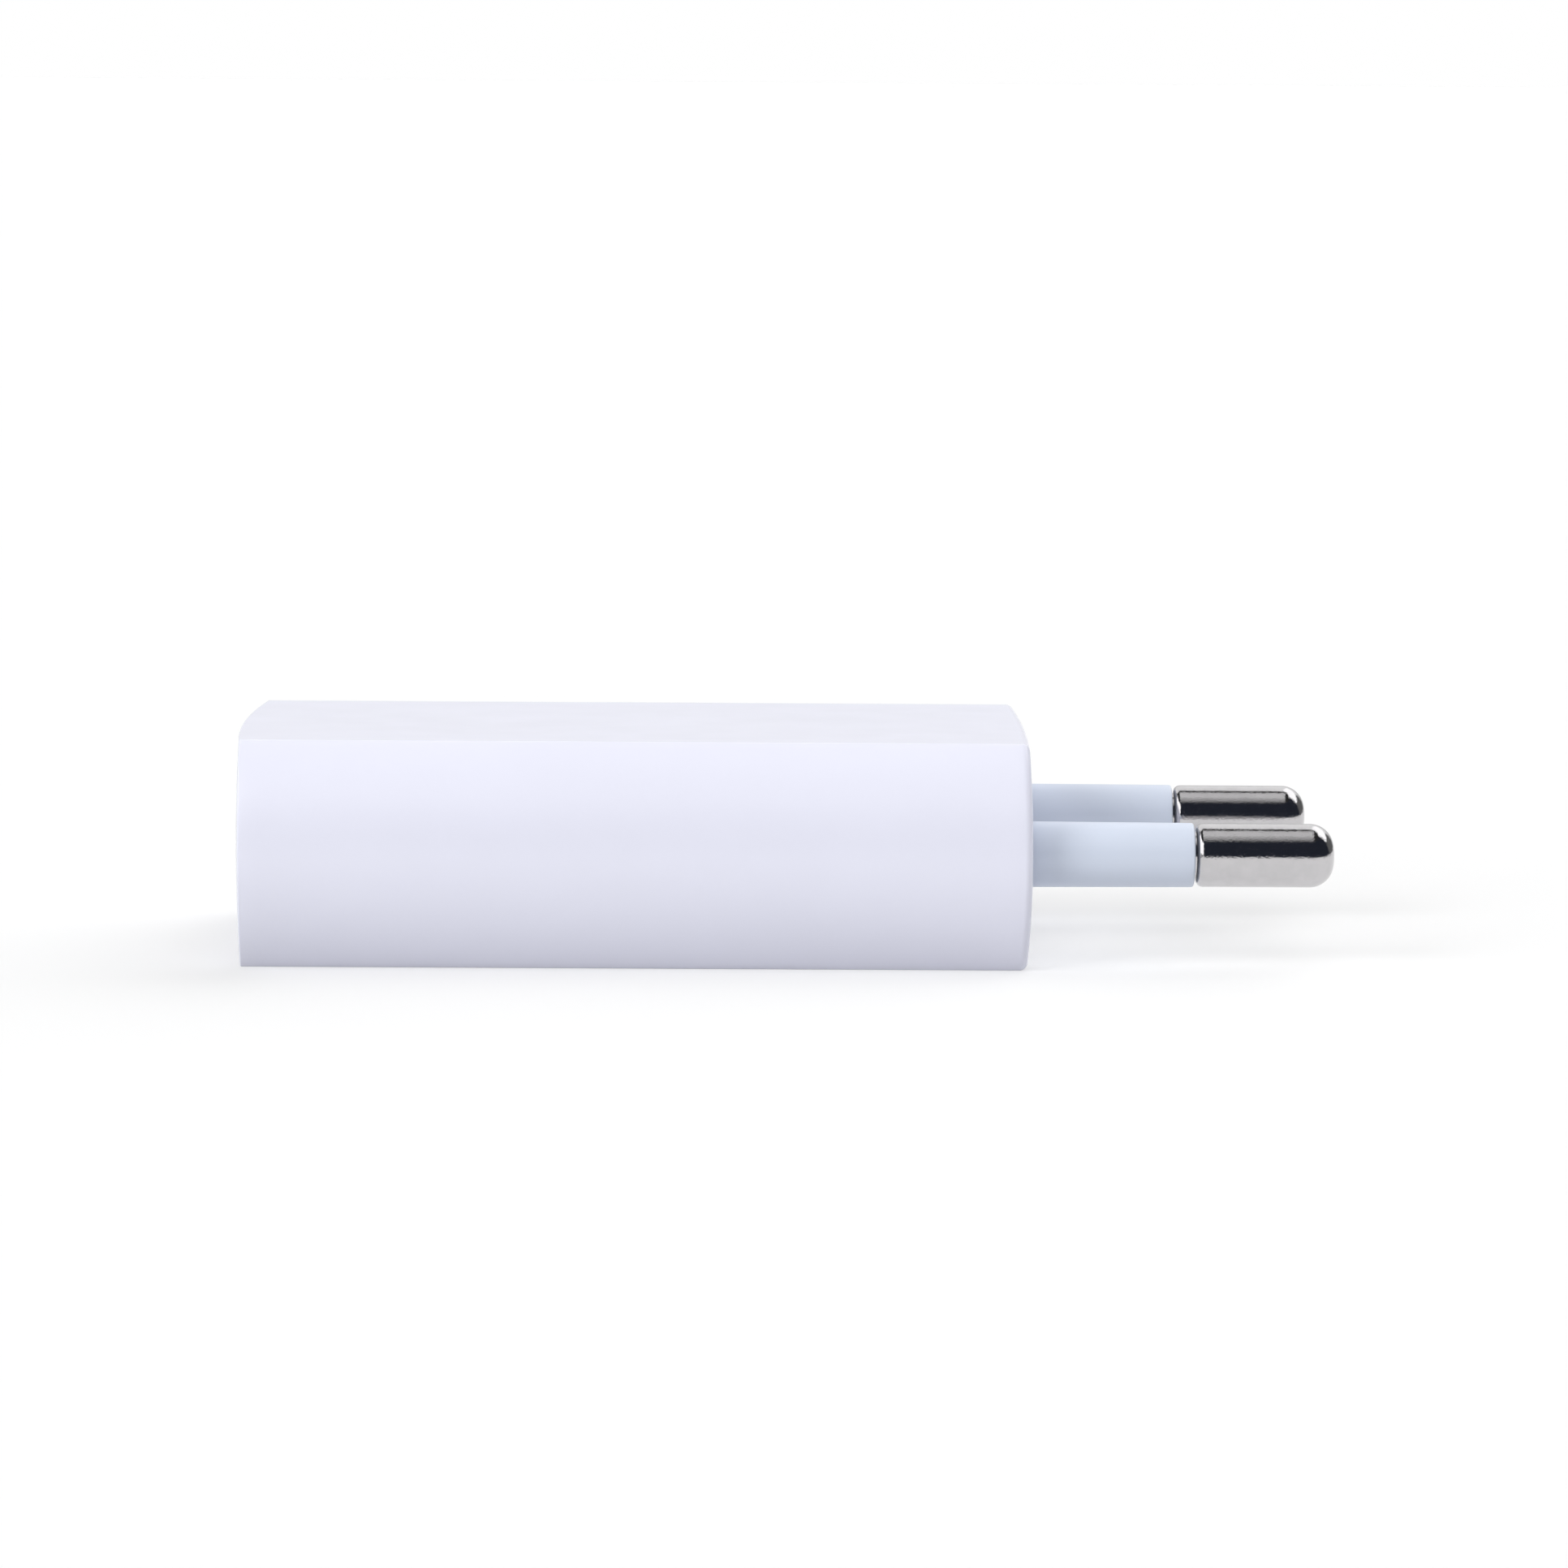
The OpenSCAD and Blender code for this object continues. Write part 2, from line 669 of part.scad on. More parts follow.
module y_capacitor_leads() {
  drop = disc_z - sqrt(pow(disc_r, 2) - pow(disc_lead_span / 2, 2)) + 0.2;
  color("silver") for (p = disc_leads) translate([p[0], p[1], lead_end_z]) difference() {
    cylinder(h = drop - lead_end_z, r = lead_r);
    translate([core_x - p[0], disc_y + 5 - p[1], disc_z - lead_end_z]) rotate([90, 0, 0])
      cylinder(h = 10, r = disc_r);
  }
}

module optocoupler() {
  color("whitesmoke") difference() {
    translate([opto_x, opto_y, board_top + 0.4 + opto_size[2] / 2]) cube(opto_size, center = true);
    translate([opto_x - 2.3, opto_y - 1.4, board_top + 0.4 + opto_size[2] - 0.15])
      cylinder(h = 1, r = 0.4);
  }
}

// Formed legs: a flat shoulder out of each side, then a round pin through the board.
module optocoupler_legs() {
  leg_z = board_top + 1.9;
  color("silver") for (s = sides) for (k = sides) {
    y = opto_y + k * opto_leg_pitch / 2;
    x = opto_x + s * opto_row_span / 2;
    edge = opto_x + s * opto_size[0] / 2;
    box([min(edge, x), max(edge, x)], [y - 0.3, y + 0.3], [leg_z - 0.12, leg_z + 0.12]);
    translate([x, y, lead_end_z]) cylinder(h = leg_z + 0.12 - lead_end_z, r = 0.27);
  }
}

// ---------- Parts under the board ----------

// A moulded chip package that hangs just clear of the board's underside.
module package(x, y, size) {
  translate([x, y, board_low - package_gap - size[2] / 2]) cube(size, center = true);
}

// Gull-wing legs on both long sides: a shoulder, a drop, and a foot that lies on the board.
module gull_legs(x, y, size, count, pitch, leg_w) {
  shoulder = 0.5;
  drop_y = 0.3;
  foot = 1;
  shoulder_z = board_low - package_gap - size[2] / 2;
  for (s = sides) for (i = [0 : count - 1])
    translate([x + (i - (count - 1) / 2) * pitch, y, 0]) mirror([0, s < 0 ? 1 : 0, 0])
      translate([0, size[1] / 2, 0]) {
        box([-leg_w / 2, leg_w / 2], [0, shoulder], [shoulder_z - leg_t / 2, shoulder_z + leg_t / 2]);
        box([-leg_w / 2, leg_w / 2], [drop_y, shoulder], [shoulder_z - leg_t / 2, board_low]);
        box([-leg_w / 2, leg_w / 2], [drop_y, foot], [board_low - leg_t, board_low]);
      }
}

controller = [-14.2, -1.5, [4.9, 3.9, 1.4]];
bridge = [-10.2, 4.8, [4.6, 3.8, 1.3]];
rectifier = [-31.9, 0, [4.4, 3.6, 1.5]];

module controller_chip() {
  color("black") difference() {
    package(controller[0], controller[1], controller[2]);
    translate([controller[0] - 1.7, controller[1] - 1.2, board_low - 0.1 - controller[2][2] - 0.9])
      cylinder(h = 1, r = 0.35);
  }
}
module controller_legs() {
  color("silver") gull_legs(controller[0], controller[1], controller[2], 4, 1.27, 0.42);
}
module bridge_rectifier() {
  color("black") package(bridge[0], bridge[1], bridge[2]);
}
module bridge_legs() {
  color("silver") gull_legs(bridge[0], bridge[1], bridge[2], 2, 2.54, 0.7);
}
module output_rectifier() {
  color("black") package(rectifier[0], rectifier[1], rectifier[2]);
}
module output_rectifier_tabs() {
  color("silver") gull_legs(rectifier[0], rectifier[1], rectifier[2], 1, 1, 1.9);
}
module snubber_diode() {
  color("black") package(-15.5, 7.9, [2.7, 1.6, 1]);
}

module chip(spot, size, ends) {
  translate([spot[0], spot[1], board_low - size[2] / 2]) rotate([0, 0, spot[2] * 90])
    if (ends) {
      for (s = sides) translate([s * (size[0] - chip_end) / 2, 0, 0])
        cube([chip_end, size[1], size[2]], center = true);
    } else {
      cube([size[0] - 2 * chip_end, size[1], size[2] - 0.06], center = true);
    }
}
module chip_resistors() {
  color("black") for (p = resistor_spots) chip(p, chip_size, false);
}
module chip_capacitors() {
  color("tan") for (p = chip_capacitor_spots) chip(p, cap_chip_size, false);
}
module chip_terminations() {
  color("silver") {
    for (p = resistor_spots) chip(p, chip_size, true);
    for (p = chip_capacitor_spots) chip(p, cap_chip_size, true);
  }
}

// ---------- Nodes ----------

main_housing();
plug_cap();
plug_pin(-1);  // plug_pin_left
plug_pin(1);  // plug_pin_right
pin_sleeve(-1);  // pin_sleeve_left
pin_sleeve(1);  // pin_sleeve_right
pin_terminal(-1);  // pin_terminal_left
pin_terminal(1);  // pin_terminal_right
circuit_board();
solder_joints();
insulation_sheet();
usb_shell();
usb_insulator();
usb_contact_tails();
usb_contact(0);  // usb_contact_vbus
usb_contact(1);  // usb_contact_data_minus
usb_contact(2);  // usb_contact_data_plus
usb_contact(3);  // usb_contact_ground
bulk_can(-1);  // bulk_capacitor_1_can
bulk_sleeve(-1);  // bulk_capacitor_1_sleeve
bulk_seal(-1);  // bulk_capacitor_1_seal
bulk_can(1);  // bulk_capacitor_2_can
bulk_sleeve(1);  // bulk_capacitor_2_sleeve
bulk_seal(1);  // bulk_capacitor_2_seal
output_can(-1);  // output_capacitor_1_can
output_sleeve(-1);  // output_capacitor_1_sleeve
output_seal(-1);  // output_capacitor_1_seal
output_can(1);  // output_capacitor_2_can
output_sleeve(1);  // output_capacitor_2_sleeve
output_seal(1);  // output_capacitor_2_seal
capacitor_leads();
core_half(1);  // transformer_core_primary
core_half(-1);  // transformer_core_secondary
transformer_bobbin();
transformer_winding();
transformer_tape();
transformer_pins();
fusible_resistor();
axial_lead_pair(1, axial_l);  // fusible_resistor_leads
filter_choke_core();
filter_choke_winding();
axial_lead_pair(-1, axial_l);  // filter_choke_leads
y_capacitor();
y_capacitor_leads();
optocoupler();
optocoupler_legs();
controller_chip();
controller_legs();
bridge_rectifier();
bridge_legs();
output_rectifier();
output_rectifier_tabs();
snubber_diode();
chip_resistors();
chip_capacitors();
chip_terminations();
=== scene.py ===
"""A slim two-pin wall charger on a pale floor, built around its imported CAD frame."""

import json
import math

import bmesh
import bpy
from mathutils import Matrix, Vector

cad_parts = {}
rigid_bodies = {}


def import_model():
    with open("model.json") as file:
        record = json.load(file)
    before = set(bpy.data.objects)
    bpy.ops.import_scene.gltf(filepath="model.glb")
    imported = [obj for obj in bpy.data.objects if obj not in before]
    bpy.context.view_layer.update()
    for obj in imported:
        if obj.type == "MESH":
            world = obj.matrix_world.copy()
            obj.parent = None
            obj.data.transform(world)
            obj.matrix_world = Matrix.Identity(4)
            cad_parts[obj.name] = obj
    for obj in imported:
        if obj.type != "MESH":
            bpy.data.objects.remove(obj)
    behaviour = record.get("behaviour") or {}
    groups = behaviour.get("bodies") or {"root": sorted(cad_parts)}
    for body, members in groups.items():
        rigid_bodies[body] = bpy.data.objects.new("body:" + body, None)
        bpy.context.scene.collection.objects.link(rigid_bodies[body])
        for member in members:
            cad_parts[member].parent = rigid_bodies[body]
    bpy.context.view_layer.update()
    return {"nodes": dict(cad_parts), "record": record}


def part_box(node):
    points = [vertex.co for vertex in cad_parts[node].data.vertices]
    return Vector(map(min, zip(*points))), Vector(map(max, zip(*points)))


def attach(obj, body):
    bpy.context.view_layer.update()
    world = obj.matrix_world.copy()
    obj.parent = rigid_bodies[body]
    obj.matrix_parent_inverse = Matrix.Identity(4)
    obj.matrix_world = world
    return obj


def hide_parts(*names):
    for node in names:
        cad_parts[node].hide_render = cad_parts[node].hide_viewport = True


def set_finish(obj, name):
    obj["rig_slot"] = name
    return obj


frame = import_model()

MM = 0.001
SIDES = (-1, 1)

# Distances that count as nothing: between points that merge, along a sliver, off the flat top.
MERGE = 1e-7
SLIVER = 1e-8
OFF_FLAT = 1e-6

# Housing, in metres. What the frame gives is measured from it below.
WALL = 1.6 * MM
RIDGE_ROUND = 0.22 * MM
LEAST_ROUND = 0.05 * MM
# Socket end: how its face is crowned, and its window round the socket's shell.
SOCKET_CROWN_R = 115 * MM
SOCKET_EDGE = 0.1 * MM
CROWN_INSET = 0.01 * MM
WINDOW_EDGE = 0.18 * MM
WINDOW_GAP = 0.12 * MM
WINDOW_CORNER = 0.9 * MM
# Plug end: how its face is crowned up and down and swept across, and its rim round the cap's seat.
PLUG_CROWN_R = 96 * MM
PLUG_SWEEP_R = 340 * MM
PLUG_EDGE = 0.5 * MM
RIM = 1.1 * MM
RIM_EDGE = 0.12 * MM
SEAT_DEPTH = 3.0 * MM
# Rails inside: how far they reach over the board, their height, their play, and how deep they
# are rooted in the wall.
RAIL_HOLD = 0.5 * MM
RAIL_H = 0.8 * MM
RAIL_GAP = 0.05 * MM
RAIL_ROOT = WALL / 4

# Plug cap. Its skirt and bosses start SKIRT_SINK deep in its plate.
CAP_GAP = 0.08 * MM
CAP_EDGE = 0.15 * MM
SKIRT_T = 0.9 * MM
SKIRT_SINK = 0.2 * MM
SKIRT_SHORT = 0.1 * MM
BOSS_R = 2.8 * MM

# Points along a quarter of the body's outline: flat, ridge and curved side. The window has as many,
# but its corner has a few of the side's.
FLAT_POINTS = 16
RIDGE_POINTS = 8
SIDE_POINTS = 28
CORNER_EXTRA = 4

# Rings along the body, over the socket's end face, and over each half of the cap.
BODY_STATIONS = 40
END_FACE_STEPS = 14
CAP_STEPS = 10
CAP_MIDDLE_STEPS = 12

# Pins. The riveted tail's end is given as (distance from the end, radius).
TAIL_R = 1.4 * MM
TAIL_END = ((0.0, 0.0), (0.0, 1.15 * MM), (0.12 * MM, 1.33 * MM), (0.3 * MM, TAIL_R))
NECK_R = 0.9 * MM
CORE_R = 1.45 * MM
COLLAR_R = 1.75 * MM
COLLAR_L = 0.8 * MM
COLLAR_CHAMFER = 0.1 * MM
HEEL_GAP = 0.13 * MM
HEEL_ROUND = 0.45 * MM
TIP_ROUND = 1.5 * MM
CONTACT_STATIONS = 16
LATHE_SEGMENTS = 128
BOSS_SEGMENTS = 64

# Sleeves
SLEEVE_GAP = 0.02 * MM
SLEEVE_TAPER = 0.05 * MM
SLEEVE_EDGE = 0.16 * MM
SLEEVE_BORE_CHAMFER = 0.05 * MM
SLEEVE_STATIONS = 24


# ---------- Mesh helpers ----------


def add_object(name, data):
    obj = bpy.data.objects.new(name, data)
    bpy.context.scene.collection.objects.link(obj)
    return obj


def clean(mesh):
    """Merges coincident vertices and turns the normals out."""
    bm = bmesh.new()
    bm.from_mesh(mesh)
    bmesh.ops.remove_doubles(bm, verts=bm.verts, dist=MERGE)
    bmesh.ops.dissolve_degenerate(bm, edges=bm.edges, dist=SLIVER)
    bmesh.ops.recalc_face_normals(bm, faces=bm.faces)
    bm.to_mesh(mesh)
    bm.free()


def add_band(vertices, faces, rings, loop=False):
    """Adds quads between rings of equally many points. loop joins the last ring to the first."""
    first, count = len(vertices), len(rings[0])
    for i in range(len(rings) if loop else len(rings) - 1):
        a = first + i * count
        b = first + ((i + 1) % len(rings)) * count
        for k in range(count):
            n = (k + 1) % count
            faces.append((a + k, a + n, b + n, b + k))
    vertices += [p for points in rings for p in points]


def weighted_normals(obj):
    modifier = obj.modifiers.new("weighted_normals", "WEIGHTED_NORMAL")
    modifier.keep_sharp = True
    modifier.weight = 100


def add_piece(name, vertices, faces, node, slot):
    """A smooth piece of the charger's body that takes a CAD node's place."""
    mesh = bpy.data.meshes.new(name)
    mesh.from_pydata([tuple(v) for v in vertices], [], faces)
    clean(mesh)
    mesh.shade_smooth()
    piece = add_object(name, mesh)
    weighted_normals(piece)
    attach(piece, "charger")
    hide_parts(node)
    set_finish(piece, slot)


def turned_rings(profile, y, segments=LATHE_SEGMENTS):
    """A ring for each (x, radius) of the profile, round a line along X at height 0."""
    rings = []
    for x, r in profile:
        turns = [2 * math.pi * k / segments for k in range(segments)]
        rings.append([Vector((x, y + r * math.cos(a), r * math.sin(a))) for a in turns])
    return rings


def arc(cx, cy, r, start, end, steps):
    """Points on an arc, angles in degrees, both ends included."""
    out = []
    for i in range(steps + 1):
        a = math.radians(start + (end - start) * i / steps)
        out.append((cx + r * math.cos(a), cy + r * math.sin(a)))
    return out


# ---------- The body's outline and end faces ----------

housing_low, housing_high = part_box("main_housing")
half_w = housing_high.y
half_t = housing_high.z
top_points = [
    v.co for v in frame["nodes"]["main_housing"].data.vertices if v.co.z > half_t - OFF_FLAT
]
flat_half = max(abs(p.y) for p in top_points)
bulge = half_w - flat_half
side_r = (half_t**2 + bulge**2) / (2 * bulge)
side_c = half_w - side_r


def socket_sag(y, z):
    """How far the socket end's face falls back from the middle of its crown."""
    return SOCKET_CROWN_R - math.sqrt(SOCKET_CROWN_R**2 - y * y - z * z)


front_point = min(
    (v.co for v in frame["nodes"]["main_housing"].data.vertices), key=lambda p: p.x
)
socket_crown_x = front_point.x - socket_sag(front_point.y, front_point.z) + CROWN_INSET


def socket_x(y, z):
    """Where the socket end's face is along X."""
    return socket_crown_x + socket_sag(y, z)


def plug_x(y, z):
    """Where the plug end's face is along X."""
    sweep = PLUG_SWEEP_R - PLUG_CROWN_R + math.sqrt(PLUG_CROWN_R**2 - z * z)
    return math.sqrt(sweep**2 - y * y) - PLUG_SWEEP_R


def mirrored(quarter):
    """A closed outline from its quarter, which runs from the top's middle to the +Y side."""
    right = quarter + [(y, -z) for y, z in reversed(quarter[:-1])]
    return right + [(-y, z) for y, z in reversed(right[1:-1])]


def section(inset):
    """The body's outline, moved in by inset all round."""
    h = half_t - inset
    big = side_r - inset
    small = max(RIDGE_ROUND - inset, LEAST_ROUND)
    ridge_y = side_c + math.sqrt((big - small) ** 2 - (h - small) ** 2)
    ridge_angle = math.degrees(math.atan2(h - small, ridge_y - side_c))
    flat = [(ridge_y * math.sin(math.pi / 2 * i / FLAT_POINTS), h) for i in range(FLAT_POINTS)]
    ridge = arc(ridge_y, h - small, small, 90, ridge_angle, RIDGE_POINTS)
    side = arc(side_c, 0, big, ridge_angle, 0, SIDE_POINTS)
    return mirrored(flat + ridge + side[1:])


def rounded_window(half_y, half_z, corner):
    """A rounded rectangle with as many points as the section, in the same order."""
    corner_points = RIDGE_POINTS + CORNER_EXTRA
    side_points = SIDE_POINTS - CORNER_EXTRA
    cy, cz = half_y - corner, half_z - corner
    flat = [(cy * i / FLAT_POINTS, half_z) for i in range(FLAT_POINTS)]
    turn = arc(cy, cz, corner, 90, 0, corner_points)
    side = [(half_y, cz * (1 - (i + 1) / side_points)) for i in range(side_points)]
    return mirrored(flat + turn + side)


def between(a, b, t):
    """The outline that lies at t from outline a to outline b."""
    return [(p[0] + (q[0] - p[0]) * t, p[1] + (q[1] - p[1]) * t) for p, q in zip(a, b)]


def ring(outline, x_of):
    """Points of an outline in Y and Z, each at the x that x_of gives for it."""
    return [Vector((x_of(y, z), y, z)) for y, z in outline]


def edge_steps(radius, steps):
    """(inset, set-back) along a quarter-round edge, from the side to the end face."""
    return [
        (radius * (1 - math.cos(a)), radius * (1 - math.sin(a)))
        for a in (math.pi / 2 * i / steps for i in range(steps + 1))
    ]


# ---------- Pieces ----------


def housing_rings():
    """The housing's skin: outside, plug rim, inside, socket window and back to the outside."""
    rings = []
    for inset, back in reversed(edge_steps(SOCKET_EDGE, 6)):
        rings.append(ring(section(inset), lambda y, z: socket_x(y, z) + back))
    skin = section(0)
    for i in range(1, BODY_STATIONS):
        t = i / BODY_STATIONS

        def along(y, z):
            a, b = socket_x(y, z) + SOCKET_EDGE, plug_x(y, z) - PLUG_EDGE
            return a + (b - a) * t

        rings.append(ring(skin, along))
    for inset, back in edge_steps(PLUG_EDGE, 8):
        rings.append(ring(section(inset), lambda y, z: plug_x(y, z) - back))
    for inset, back in reversed(edge_steps(RIM_EDGE, 4)):
        rings.append(ring(section(RIM - inset), lambda y, z: plug_x(y, z) - back))
    for x, inset in ((-SEAT_DEPTH, RIM), (-SEAT_DEPTH, WALL)):
        rings.append(ring(section(inset), lambda y, z: x))
    inner_x = socket_crown_x + WALL
    rings.append(ring(section(WALL), lambda y, z: inner_x))
    shell_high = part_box("usb_shell")[1]
    window_y = shell_high.y + WINDOW_GAP
    window_z = shell_high.z + WINDOW_GAP
    window = rounded_window(window_y, window_z, WINDOW_CORNER)
    rings.append(ring(window, lambda y, z: inner_x))
    for inset, back in edge_steps(WINDOW_EDGE, 5):
        wider = rounded_window(window_y + inset, window_z + inset, WINDOW_CORNER + inset)
        rings.append(ring(wider, lambda y, z: socket_x(y, z) + back))
    outer = section(SOCKET_EDGE)
    for i in range(1, END_FACE_STEPS):
        rings.append(ring(between(wider, outer, i / END_FACE_STEPS), socket_x))
    return rings


def block_rings(low, high):
    """A box's two ends along X as rings, each end closed by a ring shrunk to its middle."""
    corners = ((low.y, low.z), (high.y, low.z), (high.y, high.z), (low.y, high.z))
    middle = ((low.y + high.y) / 2, (low.z + high.z) / 2)
    ends = [[Vector((x, y, z)) for y, z in corners] for x in (low.x, high.x)]
    caps = [[Vector((x, *middle))] * 4 for x in (low.x, high.x)]
    return [caps[0], ends[0], ends[1], caps[1]]


def rail_blocks():
    """The ribs on the inner walls that hold the board's long edges from above and below."""
    board_low, board_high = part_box("circuit_board")
    rail_y = board_high.y - RAIL_HOLD
    above = board_high.z + RAIL_GAP
    below = board_low.z - RAIL_GAP - RAIL_H
    blocks = []
    for z, end_x in ((above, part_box("usb_shell")[1].x), (below, board_high.x)):
        wall_y = side_c + math.sqrt((side_r - WALL) ** 2 - z * z) + RAIL_ROOT
        for side in SIDES:
            y0, y1 = sorted((side * rail_y, side * wall_y))
            blocks.append((Vector((board_low.x, y0, z)), Vector((end_x, y1, z + RAIL_H))))
    return blocks


def build_housing():
    vertices, faces = [], []
    add_band(vertices, faces, housing_rings(), loop=True)
    for low, high in rail_blocks():
        add_band(vertices, faces, block_rings(low, high))
    add_piece("housing_shell", vertices, faces, "main_housing", "housing_white")


def half_plate(side, pin_y, hole_r, inset, x_of):
    """Rings over one half of the cap, from its pin hole out to its half of the outline."""
    outline = section(inset)
    quarter = len(outline) // 4
    right = outline[: 2 * quarter + 1]
    low_z, high_z = right[-1][1], right[0][1]
    middle = [
        (0.0, low_z + (high_z - low_z) * i / CAP_MIDDLE_STEPS)
        for i in range(1, CAP_MIDDLE_STEPS)
    ]
    border = [(side * y, z) for y, z in right + middle]
    angles = [math.atan2(z, side * y - pin_y) for y, z in border]
    hole = [(side * (pin_y + hole_r * math.cos(a)), hole_r * math.sin(a)) for a in angles]
    return [ring(between(hole, border, i / CAP_STEPS), x_of) for i in range(CAP_STEPS + 1)]


def build_plug_cap():
    """Crowned plate with a hole for each sleeve, a rounded border, and a skirt and bosses."""
    pin_low, pin_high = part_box("plug_pin_right")
    pin_y = (pin_low.y + pin_high.y) / 2
    hole_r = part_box("pin_sleeve_right")[1].z + SLEEVE_GAP
    inset = RIM + CAP_GAP
    back_x = -SEAT_DEPTH
    vertices, faces = [], []
    for side in SIDES:
        front = half_plate(side, pin_y, hole_r, inset + CAP_EDGE, plug_x)
        rear = half_plate(side, pin_y, hole_r, inset + CAP_EDGE, lambda y, z: back_x)
        hole_wall = [front[0], rear[0]]
        for rings in (front, rear, hole_wall):
            add_band(vertices, faces, rings)
    border = []
    for step, back in reversed(edge_steps(CAP_EDGE, 4)):
        border.append(ring(section(inset + step), lambda y, z: plug_x(y, z) - back))
    for step, back in edge_steps(CAP_EDGE, 4):
        border.append(ring(section(inset + step), lambda y, z: back_x + back))
    add_band(vertices, faces, border)
    cap_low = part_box("plug_cap")[0]
    skirt_outer, skirt_inner = section(WALL + CAP_GAP), section(WALL + SKIRT_T)
    start_x = back_x + SKIRT_SINK
    skirt_end = cap_low.x + SKIRT_SHORT
    skirt = [
        ring(skirt_outer, lambda y, z: start_x),
        ring(skirt_outer, lambda y, z: skirt_end),
        ring(skirt_inner, lambda y, z: skirt_end),
        ring(skirt_inner, lambda y, z: start_x),
    ]
    add_band(vertices, faces, skirt, loop=True)
    bore_r = CORE_R + SLEEVE_GAP
    boss = [(start_x, bore_r), (start_x, BOSS_R), (cap_low.x, BOSS_R), (cap_low.x, bore_r)]
    for side in SIDES:
        add_band(vertices, faces, turned_rings(boss, side * pin_y, BOSS_SEGMENTS), loop=True)
    add_piece("plug_cap_plate", vertices, faces, "plug_cap", "housing_white")


def build_pin(name):
    """Solid pin: riveted tail, neck, collar, thin core, and the contact with its heel and tip."""
    low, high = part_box(name)
    sleeve_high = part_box(name.replace("plug_pin", "pin_sleeve"))[1]
    terminal_low, terminal_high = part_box(name.replace("plug_pin", "pin_terminal"))
    y = (low.y + high.y) / 2
    r = (high.z - low.z) / 2
    heel_x = sleeve_high.x + HEEL_GAP
    collar_x = terminal_high.x
    profile = [(low.x + x, radius) for x, radius in TAIL_END]
    profile += [
        (terminal_low.x, TAIL_R),
        (terminal_low.x, NECK_R),
        (collar_x, NECK_R),
        (collar_x, COLLAR_R - COLLAR_CHAMFER),
        (collar_x + COLLAR_CHAMFER, COLLAR_R),
        (collar_x + COLLAR_L, COLLAR_R),
        (collar_x + COLLAR_L, CORE_R),
        (heel_x, CORE_R),
    ]
    start, end = heel_x + HEEL_ROUND, high.x - TIP_ROUND
    profile += arc(start, r - HEEL_ROUND, HEEL_ROUND, 180, 90, 8)
    profile += [
        (start + (end - start) * i / CONTACT_STATIONS, r) for i in range(1, CONTACT_STATIONS)
    ]
    profile += arc(end, r - TIP_ROUND, TIP_ROUND, 90, 0, 24)
    profile += [(high.x, (r - TIP_ROUND) * k / 4) for k in (3, 2, 1, 0)]
    vertices, faces = [], []
    add_band(vertices, faces, turned_rings(profile, y))
    add_piece(name + "_turned", vertices, faces, name, "pin_metal")


def build_sleeve(name):
    """Tapered sleeve with a softened free end."""
    low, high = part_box(name)
    y = (low.y + high.y) / 2
    root_r = (high.z - low.z) / 2
    end_r = root_r - SLEEVE_TAPER
    edge_x = high.x - SLEEVE_EDGE
    inner_r = CORE_R + SLEEVE_GAP
    profile = []
    for i in range(SLEEVE_STATIONS):
        t = i / SLEEVE_STATIONS
        profile.append((low.x + (edge_x - low.x) * t, root_r + (end_r - root_r) * t))
    profile += arc(edge_x, end_r - SLEEVE_EDGE, SLEEVE_EDGE, 90, 0, 6)
    profile += [
        (high.x, inner_r + SLEEVE_BORE_CHAMFER),
        (high.x - SLEEVE_BORE_CHAMFER, inner_r),
        (low.x, inner_r),
    ]
    vertices, faces = [], []
    add_band(vertices, faces, turned_rings(profile, y), loop=True)
    add_piece(name + "_moulded", vertices, faces, name, "sleeve_plastic")


# CAD pieces that show at the socket, and how wide their sharp edges are broken.
SOFTENED = {
    "usb_shell": 0.06 * MM,
    "usb_insulator": 0.1 * MM,
    "usb_contact_vbus": 0.03 * MM,
    "usb_contact_data_minus": 0.03 * MM,
    "usb_contact_data_plus": 0.03 * MM,
    "usb_contact_ground": 0.03 * MM,
}


def soften(node, width):
    """Breaks the sharp edges of a CAD piece with a modifier, which leaves its mesh alone."""
    obj = frame["nodes"][node]
    bevel = obj.modifiers.new("broken_edges", "BEVEL")
    bevel.width = width
    bevel.segments = 2
    bevel.limit_method = "ANGLE"
    bevel.angle_limit = math.radians(40)
    weighted_normals(obj)


# ---------- Materials ----------

COAT_ROUGHNESS = 0.08


def shader_of(material):
    return material.node_tree.nodes["Principled BSDF"]


def new_material(name, colour, roughness, metallic=0.0, coat=0.0):
    """A Principled material. Even values are set on the shader's own sockets."""
    material = bpy.data.materials.new(name)
    material.use_nodes = True
    shader = shader_of(material)
    shader.inputs["Base Color"].default_value = (*colour, 1.0)
    shader.inputs["Roughness"].default_value = roughness
    shader.inputs["Metallic"].default_value = metallic
    shader.inputs["Coat Weight"].default_value = coat
    shader.inputs["Coat Roughness"].default_value = COAT_ROUGHNESS
    material.diffuse_color = (*colour, 1.0)
    return material


def add_node(material, kind, **values):
    """A new node, with each value given to the input of that name, or else to the property."""
    node = material.node_tree.nodes.new(kind)
    for key, value in values.items():
        if key in node.inputs:
            node.inputs[key].default_value = value
        else:
            setattr(node, key, value)
    return node


def noise(material, size, detail=3.0, stretch=(1, 1, 1)):
    """Noise with features of about the given size in metres, stretched along the axes."""
    links = material.node_tree.links
    place = add_node(material, "ShaderNodeTexCoord")
    scale = tuple(1 / (size * s) for s in stretch)
    mapping = add_node(material, "ShaderNodeMapping", Scale=scale)
    texture = add_node(material, "ShaderNodeTexNoise", Scale=1.0, Detail=detail)
    links.new(place.outputs["Object"], mapping.inputs["Vector"])
    links.new(mapping.outputs["Vector"], texture.inputs["Vector"])
    return texture


